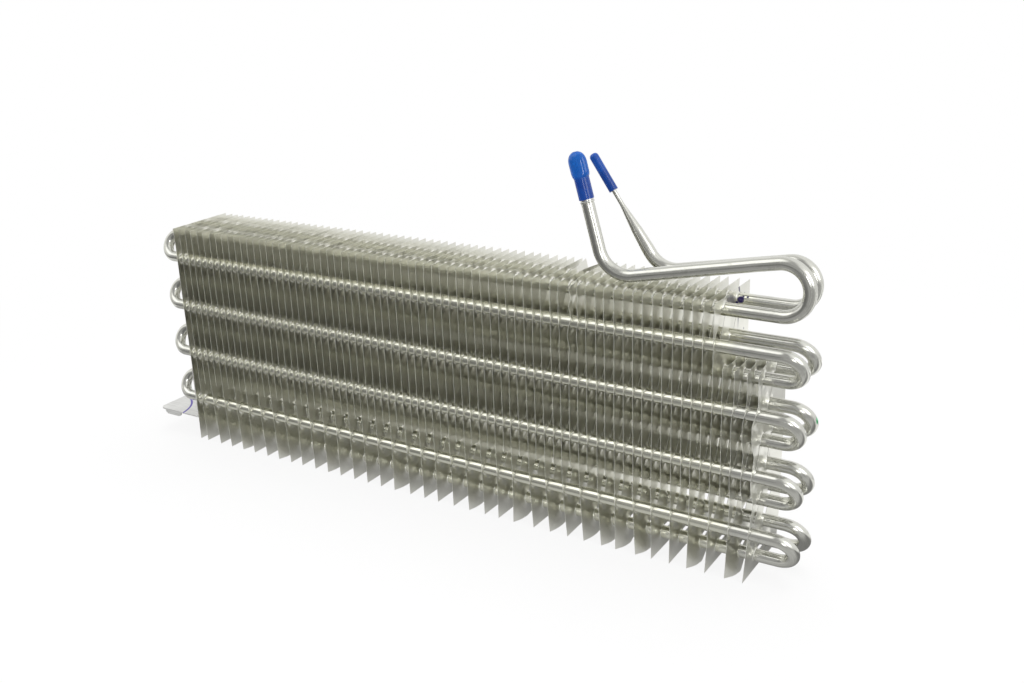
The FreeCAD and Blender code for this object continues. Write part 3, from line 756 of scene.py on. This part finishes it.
def arc_points(start, middle, end, count):
    """Points on the circle through three points, after its start and up to its end."""
    a, b, c = (np.array(p, float) for p in (start, middle, end))
    u, v = b - a, c - a
    normal = np.cross(u, v)
    square = np.dot(normal, normal)
    centre = a + (np.dot(u, u) * np.cross(v, normal) - np.dot(v, v) * np.cross(u, normal)) / (2 * square)
    axis = normal / math.sqrt(square)
    arm = a - centre
    side = np.cross(axis, arm)
    angle = math.atan2(np.dot(c - centre, side), np.dot(c - centre, arm)) % (2 * math.pi)
    return [centre + arm * math.cos(angle * n / count) + side * math.sin(angle * n / count)
            for n in range(1, count + 1)]


def corner_points(before, at, after, radius, count):
    """Rounded corner: start of its arc and the points along it."""
    back = (before - at) / np.linalg.norm(before - at)
    ahead = (after - at) / np.linalg.norm(after - at)
    half = math.acos(np.clip(np.dot(back, ahead), -1, 1)) / 2
    setback = radius / math.tan(half)
    inward = (back + ahead) / np.linalg.norm(back + ahead)
    centre = at + inward * radius / math.sin(half)
    start, end = at + back * setback, at + ahead * setback
    return [start] + arc_points(start, centre - inward * radius, end, count)


def connection_points(loop_low, radius, corner_at, end):
    """From a tube end over the return leg and round the loop to the top row, as in the source."""
    centre = loop_low + np.array([0, 0, radius])
    across, up = centre[0] - corner_at[0], centre[2] - corner_at[2]
    slope = math.atan2(up, across) + math.asin(radius / math.hypot(across, up))
    leg = np.array([math.cos(slope), 0, math.sin(slope)])

    def on_loop(angle):
        return centre + radius * np.array([math.cos(angle), 0, math.sin(angle)])

    loop_end = on_loop(math.pi / 2 + slope)
    leg_start = loop_end - SIDE_BEND_RUN * leg
    points = [end] + corner_points(end, corner_at, leg_start, RISER_BEND, RISER_BEND_STEPS)
    if abs(corner_at[1] - loop_low[1]) > SMALLEST_SIDE_STEP:
        points += corner_points(corner_at, leg_start, loop_end, SIDE_BEND, SIDE_BEND_STEPS)
    points += [loop_end - LOOP_LEAD * leg]
    points += [on_loop(math.pi / 2 + slope - (math.pi + slope) * n / LOOP_STEPS)
               for n in range(LOOP_STEPS + 1)]
    return points + [points[-1] - LOOP_LEAD * X_AXIS]


def hairpin_points(number, here, there):
    """Bend from one pass of the tube to the next, with the points that lead into and out of it."""
    at_left = number % 2 == 0
    laced = at_left and here[0] != ROWS
    x = LEFT_BENDS if at_left else RIGHT_BENDS
    ends = [np.array([x, *place(*here)]), np.array([x, *place(*there)])]
    inward = (ends[1] - ends[0]) / np.linalg.norm(ends[1] - ends[0])
    ways, pinches, move = (inward, -inward), [0.0, 0.0], X_AXIS * 0.0
    lead = [(PLAIN_LEAD if at_left else -PLAIN_LEAD, 0.0)]
    if laced:
        lead = LEFT_LEAD
        move = X_AXIS * LEFT_MOVES[(min(here[0], there[0]) - 1) // 2]
        for n, (row, _) in enumerate((here, there)):
            if row % 2:
                pinches[n] = LEFT_PINCH
            else:
                ends[n] = ends[n] + ways[n] * rise(x)
    first, last = (end + way * pinch + move for end, way, pinch in zip(ends, ways, pinches))
    outwards = -X_AXIS if at_left else X_AXIS
    middle = (first + last) / 2 + outwards * np.linalg.norm(last - first) / 2

    def led(n, steps):
        return [ends[n] + X_AXIS * back + (ways[n] * pinches[n] + move) * share for back, share in steps]

    return led(0, lead) + [first] + arc_points(first, middle, last, BEND_STEPS) + led(1, lead[::-1])


def tube_points():
    """The whole run: outlet, down the front column, up the back column, inlet."""
    passes = [(row, 0) for row in range(1, ROWS + 1)] + [(row, 1) for row in range(ROWS, 0, -1)]
    points = connection_points(OUTLET_LOOP, OUTLET_LOOP_RADIUS, OUTLET_CORNER,
                               OUTLET_CORNER + OUTLET_UP * OUTLET_RISER)
    for number, (here, there) in enumerate(zip(passes, passes[1:])):
        points += hairpin_points(number, here, there)
    inlet = connection_points(INLET_LOOP, INLET_LOOP_RADIUS, INLET_CORNER,
                              INLET_CORNER + INLET_UP * INLET_RISER)
    return points + inlet[::-1]


def with_end_rings(points):
    """The run and its radii, with rings where the outlet's bead and the inlet's drawn steps are."""
    outlet = [(OUTLET_RISER, TUBE_RADIUS)]
    for step in range(BEAD_STEPS + 1):
        share = step / BEAD_STEPS
        swell = BEAD_SWELL * math.sin(math.pi * share) ** BEAD_POWER if 0 < share < 1 else 0.0
        outlet.append((OUTLET_RISER - BEAD_BELOW_END + BEAD_LENGTH * (1 - share), TUBE_RADIUS + swell))
    head = [OUTLET_CORNER + OUTLET_UP * height for height, _ in outlet]
    body = points[1:-1]
    tail = [INLET_CORNER + INLET_UP * height for height in DRAWN_HEIGHTS]
    radii = [radius for _, radius in outlet] + [TUBE_RADIUS] * len(body)
    radii += [float(np.interp(height, *zip(*DRAWN_RADII))) for height in DRAWN_HEIGHTS]
    return head + body + tail, radii


# ---------------------------------------------------------------- the tube's skin

def along_path(points):
    """Distance along the points and unit tangents."""
    steps = np.diff(points, axis=0)
    lengths = np.linalg.norm(steps, axis=1)
    units = steps / lengths[:, None]
    tangents = np.vstack([units[:1], units[:-1] + units[1:], units[-1:]])
    tangents /= np.linalg.norm(tangents, axis=1, keepdims=True)
    return np.concatenate([[0.0], np.cumsum(lengths)]), tangents


def sweep(points, radii, segments, start_normal):
    """Round skin along points, carried without twist. Returns points, quads and UVs in mm."""
    points = np.array(points)
    distance, tangents = along_path(points)
    normal = np.array(start_normal, float)
    angles = np.linspace(0, 2 * math.pi, segments, endpoint=False)
    rings = []
    for point, tangent, radius in zip(points, tangents, radii):
        normal = normal - tangent * np.dot(normal, tangent)
        normal /= np.linalg.norm(normal)
        side = np.cross(tangent, normal)
        rings.append(point + radius * (np.outer(np.cos(angles), normal) + np.outer(np.sin(angles), side)))
    around = 2 * math.pi * TUBE_RADIUS / segments
    quads, uvs = [], []
    for n in range(len(points) - 1):
        here, ahead = n * segments, (n + 1) * segments
        for m in range(segments):
            k = (m + 1) % segments
            quads.append([here + m, here + k, ahead + k, ahead + m])
            uvs += [(m * around, distance[n]), ((m + 1) * around, distance[n]),
                    ((m + 1) * around, distance[n + 1]), (m * around, distance[n + 1])]
    return np.vstack(rings), quads, uvs


def end_wall(points, radii, vertices, segments, at_start, bore, depth):
    """Rim and short bore at an open tube end, so the wall shows."""
    first_ring = 0 if at_start else (len(points) - 1) * segments
    ring = list(range(first_ring, first_ring + segments))
    centre = np.array(points[0] if at_start else points[-1])
    inward = np.array(points[1] if at_start else points[-2]) - centre
    inward /= np.linalg.norm(inward)
    inner = centre + (vertices[ring] - centre) * bore / (radii[0] if at_start else radii[-1])
    start = len(vertices)
    vertices = np.vstack([vertices, inner, inner + inward * depth])
    faces = []
    for m in range(segments):
        k = (m + 1) % segments
        faces.append([ring[m], ring[k], start + k, start + m])
        faces.append([start + m, start + k, start + segments + k, start + segments + m])
    faces.append([start + segments + m for m in range(segments)])
    return vertices, [face[::-1] for face in faces] if at_start else faces


def make_tube():
    path, radii = with_end_rings(tube_points())
    vertices, quads, uvs = sweep(path, radii, SEGMENTS, (0, 1, 0))
    vertices, outlet_end = end_wall(path, radii, vertices, SEGMENTS, True, OUTLET_BORE, OUTLET_BORE_DEPTH)
    vertices, inlet_end = end_wall(path, radii, vertices, SEGMENTS, False, INLET_BORE, INLET_BORE_DEPTH)
    vertices[:, 0] = np.minimum(vertices[:, 0], cad_high[0] / MM - BOX_MARGIN)
    tube = make_object("evaporator_tube_skin", vertices, quads + outlet_end + inlet_end, TUBE)
    layer = tube.data.uv_layers.new(name="tube_mm")
    uvs += [(0.0, 0.0)] * (len(tube.data.loops) - len(uvs))
    layer.data.foreach_set("uv", np.array(uvs, np.float32).ravel())
    finish_piece(tube, "tube", "evaporator_tube")


make_tube()


# ---------------------------------------------------------------- bracket and caps

# Heights above the corners at which the caps' heads begin.
OUTLET_SLEEVE_TOP, INLET_SLEEVE_TOP = 62.0, 70.0


def dress(node, material):
    """Gives a CAD node its material."""
    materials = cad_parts[node].data.materials
    materials.clear()
    materials.append(material)


OUTLET_CAP = cap_material("vinyl_outlet", (0.003, 0.041, 0.268, 1.0), (0.004, 0.107, 0.455, 1.0),
                          OUTLET_UP, OUTLET_CORNER @ OUTLET_UP + OUTLET_SLEEVE_TOP)
INLET_CAP = cap_material("vinyl_inlet", (0.005, 0.048, 0.265, 1.0), (0.009, 0.075, 0.365, 1.0),
                         INLET_UP, INLET_CORNER @ INLET_UP + INLET_SLEEVE_TOP)

dress("mounting_bracket", BRACKET)
dress("outlet_cap", OUTLET_CAP)
dress("inlet_cap", INLET_CAP)


# ---------------------------------------------------------------- camera

# Place and directions of the camera fitted to the photograph: the columns are its right, its up,
# its back and its place in metres.
CAMERA_POSE = Matrix((
    (0.85077712, -0.14842473, 0.50413132, 0.443109),
    (0.52437177, 0.3033198, -0.79563267, -0.603697),
    (-0.03482144, 0.94125831, 0.33588728, 0.374155),
    (0, 0, 0, 1),
))
SENSOR_WIDTH, LENS = 36.0, 39.755

camera_data = bpy.data.cameras.new("photo_camera")
camera_data.sensor_width = SENSOR_WIDTH
camera_data.lens = LENS
camera_data.clip_start, camera_data.clip_end = 0.01, 50.0
camera = bpy.data.objects.new("photo_camera", camera_data)
camera.matrix_world = CAMERA_POSE
scene.collection.objects.link(camera)
scene.camera = camera


# ---------------------------------------------------------------- floor, in metres

FLOOR_REACH = 40.0

# The camera sees this much of pure white, from near the part to far from it, and the rest as lit
# paper with the part's shadow.
WHITE_NEAR, WHITE_FAR, WHITE_SHARES = 0.32, 0.75, (0.88, 1.0)

# What the fins mirror: painted light and shade that the paper gives off to mirrors only, from
# the front to the back, as (y where a zone begins, y where it is full, level), over one that grows
# from left to right.
MIRRORED_LIGHT_ACROSS, MIRRORED_LIGHT_LEFT, MIRRORED_LIGHT_RIGHT = (-0.08, 0.25), 0.20, 0.45
MIRRORED_LIGHT_AND_SHADE_ZONES = ((-0.14, -0.05, 0.60), (-0.035, 0.0, 0.26), (0.03, 0.07, 1.05), (0.10, 0.20, 0.46),
               (0.30, 0.37, 1.7), (0.395, 0.43, 0.85))

# Two painted pools of light on it: (axis, begins, is full) for each side, and the level.
MIRRORED_LIGHT_POOLS = (((("X", 0.0, 0.30), ("Y", 0.11, 0.15), ("Y", 0.22, 0.17)), 1.1),
                 ((("X", -0.36, -0.46), ("Y", -0.26, -0.14)), 1.05))


def grey(level):
    """Slightly warm grey."""
    return (level, level, 0.975 * level, 1.0)


def floor_material():
    """Paper: near white to the camera, with part of the real shadow, and to mirrors a glow of painted light
    and shade in zones.
    """
    material = bpy.data.materials.new("studio_paper")
    material.use_nodes = True
    tree = material.node_tree
    tree.nodes.clear()
    grain = noise(tree, mapped(tree), 0.5, 2.0)
    tint = mix_colour(tree, grain, (0.86, 0.86, 0.86, 1.0), (0.90, 0.90, 0.90, 1.0))
    lit = add(tree, "ShaderNodeBsdfDiffuse", Color=tint).outputs[0]
    white = add(tree, "ShaderNodeEmission", Strength=1.0).outputs[0]
    ray = add(tree, "ShaderNodeLightPath").outputs
    spread = add(tree, "ShaderNodeTexCoord").outputs["Object"]
    away = vector_value(tree, "LENGTH", i0=spread)
    share = math_node(tree, "MULTIPLY", ray["Is Camera Ray"],
                      ramp(tree, away, WHITE_NEAR, WHITE_FAR, *WHITE_SHARES))
    seen = add(tree, "ShaderNodeMixShader", i0=share, i1=lit, i2=white).outputs[0]
    axes = add(tree, "ShaderNodeSeparateXYZ", i0=spread).outputs
    # Painted light and shade: the brightness that the paper gives off to mirrors only, in zones and
    # patches.
    paper = mix_colour(tree, ramp(tree, axes["X"], *MIRRORED_LIGHT_ACROSS), grey(MIRRORED_LIGHT_LEFT), grey(MIRRORED_LIGHT_RIGHT))
    for low, high, level in MIRRORED_LIGHT_AND_SHADE_ZONES:
        paper = mix_colour(tree, ramp(tree, axes["Y"], low, high), paper, grey(level))
    for sides, level in MIRRORED_LIGHT_POOLS:
        masks = [ramp(tree, axes[axis], low, high) for axis, low, high in sides]
        paper = mix_colour(tree, chained(tree, "MULTIPLY", masks), paper, grey(level))
    mirrored = add(tree, "ShaderNodeEmission", Color=paper, Strength=1.0).outputs[0]
    whole = add(tree, "ShaderNodeMixShader", i0=ray["Is Glossy Ray"], i1=seen, i2=mirrored).outputs[0]
    add(tree, "ShaderNodeOutputMaterial", Surface=whole)
    return material


def make_floor():
    mesh = bpy.data.meshes.new("studio_floor")
    corners = ((-1, -1), (1, -1), (1, 1), (-1, 1))
    mesh.from_pydata([(x * FLOOR_REACH, y * FLOOR_REACH, 0) for x, y in corners], [], [(0, 1, 2, 3)])
    mesh.materials.append(floor_material())
    floor = bpy.data.objects.new("studio_floor", mesh)
    scene.collection.objects.link(floor)


make_floor()


# ---------------------------------------------------------------- lights

def area_light(name, location, target, size, power, mirrored):
    """Softbox; one that isn't mirrored gives no highlights, because the room's own brightness does."""
    data = bpy.data.lights.new(name, "AREA")
    data.shape = "RECTANGLE"
    data.size, data.size_y = size
    data.energy = power
    light = bpy.data.objects.new(name, data)
    light.location = location
    light.visible_glossy = mirrored
    light.rotation_euler = (Vector(target) - Vector(location)).to_track_quat("-Z", "Y").to_euler()
    scene.collection.objects.link(light)


area_light("top_softbox", (0.1, 0.35, 1.5), (0.0, 0.0, 0.1), (1.6, 1.0), 17.0, False)
area_light("front_softbox", (-0.9, -1.3, 0.9), (0.0, 0.0, 0.1), (0.8, 0.8), 7.0, False)
area_light("right_softbox", (1.5, -0.3, 0.8), (0.1, 0.0, 0.1), (0.7, 0.9), 5.0, True)

# The room as metal mirrors it: dark at the left and lighter at the right, then patches given as
# (towards, cosine where a patch begins, cosine where it is full, colour).
ROOM_DARK, ROOM_LIGHT = (0.28, 0.28, 0.27, 1.0), (0.46, 0.46, 0.45, 1.0)
ROOM_ACROSS = ((1.0, 0.0, 0.0), -0.7, -0.2)
ROOM_PATCHES = (
    ((0.0, 0.95, 0.3), -0.1, 0.5, (1.0, 1.0, 0.98, 1.0)),
    ((-1.0, 0.0, 0.1), 0.70, 0.88, (1.05, 1.05, 1.02, 1.0)),
    ((-0.50, -0.10, 0.86), 0.75, 0.95, (0.75, 0.75, 0.72, 1.0)),
    ((-0.504, -0.42, 0.755), 0.90, 0.955, (1.65, 1.65, 1.6, 1.0)),
    ((0.79, -0.12, 0.60), 0.70, 0.92, (1.1, 1.1, 1.07, 1.0)),
    ((0.57, -0.80, 0.17), 0.982, 0.994, (6.0, 6.0, 5.9, 1.0)),
)
AMBIENT = (0.55, 0.55, 0.55, 1.0)
WHITE = (1.0, 1.0, 1.0, 1.0)


def make_world():
    """White to the camera, an even grey as light and the room to mirrors."""
    world = bpy.data.worlds.new("studio")
    world.use_nodes = True
    scene.world = world
    tree = world.node_tree
    tree.nodes.clear()
    ray = add(tree, "ShaderNodeLightPath").outputs
    direction = add(tree, "ShaderNodeTexCoord").outputs["Generated"]

    def near(way, low, high):
        """0 to 1 as a direction comes near the given one."""
        return ramp(tree, vector_value(tree, "DOT_PRODUCT", i0=direction, i1=way), low, high)

    room = mix_colour(tree, near(*ROOM_ACROSS), ROOM_DARK, ROOM_LIGHT)
    for way, low, high, colour in ROOM_PATCHES:
        room = mix_colour(tree, near(way, low, high), room, colour)
    lit = mix_colour(tree, ray["Is Glossy Ray"], AMBIENT, room)
    seen = mix_colour(tree, ray["Is Camera Ray"], lit, WHITE)
    background = add(tree, "ShaderNodeBackground", Color=seen, Strength=1.0).outputs[0]
    add(tree, "ShaderNodeOutputWorld", Surface=background)


make_world()

scene.view_settings.view_transform = "Standard"

# The gaps between the fins turn black unless light may bounce many times in them.
scene.cycles.max_bounces = 14
scene.cycles.glossy_bounces = 10
